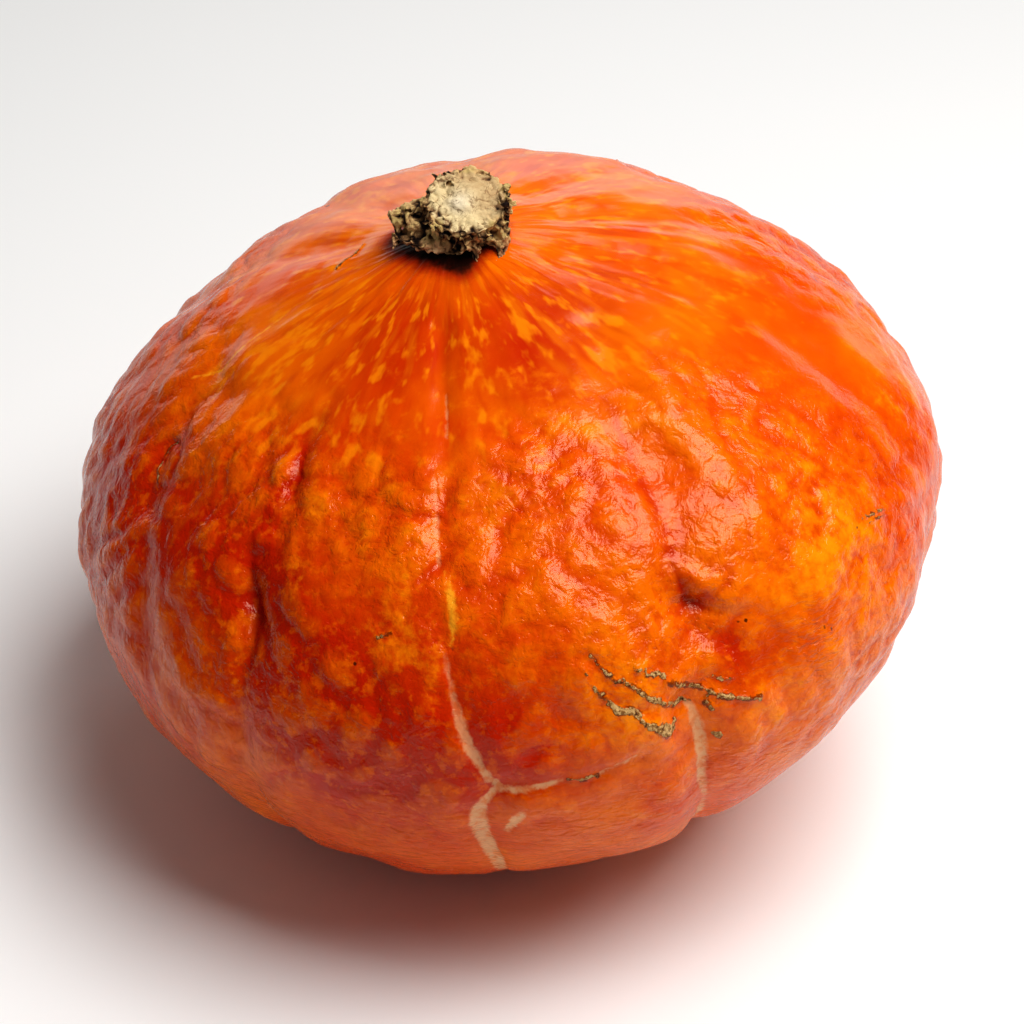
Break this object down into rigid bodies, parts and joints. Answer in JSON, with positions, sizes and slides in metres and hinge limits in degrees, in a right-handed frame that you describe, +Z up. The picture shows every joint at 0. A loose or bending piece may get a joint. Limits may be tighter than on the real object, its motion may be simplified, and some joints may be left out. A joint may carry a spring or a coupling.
{
  "type": "red kuri squash",
  "caption": "Squat, onion-shaped orange-red winter squash with lumpy skin, cream seams, corky scars and a broken tan stem stub.",
  "frame": {"origin": "middle of the bounding box on the plane that the squash rests on", "axes": "+Z up through the stem end, -Y towards the front with the scars and the main cream seam, +X to the right seen from the front"},
  "size_m": [0.1706, 0.1806, 0.1307],
  "materials": {
    "squash_skin": "waxy orange-red rind with a soft gloss, yellow-orange mottles, cream seams and small tan corky scars; gloss_plastic stands in for a squash rind",
    "stem_cork": "dry, matt, cracked tan cork with darker hollows; wood stands in for the dried stem"
  },
  "bodies": {
    "root": {"fruit": "squash_skin", "stem": "stem_cork"}
  },
  "joints": []
}
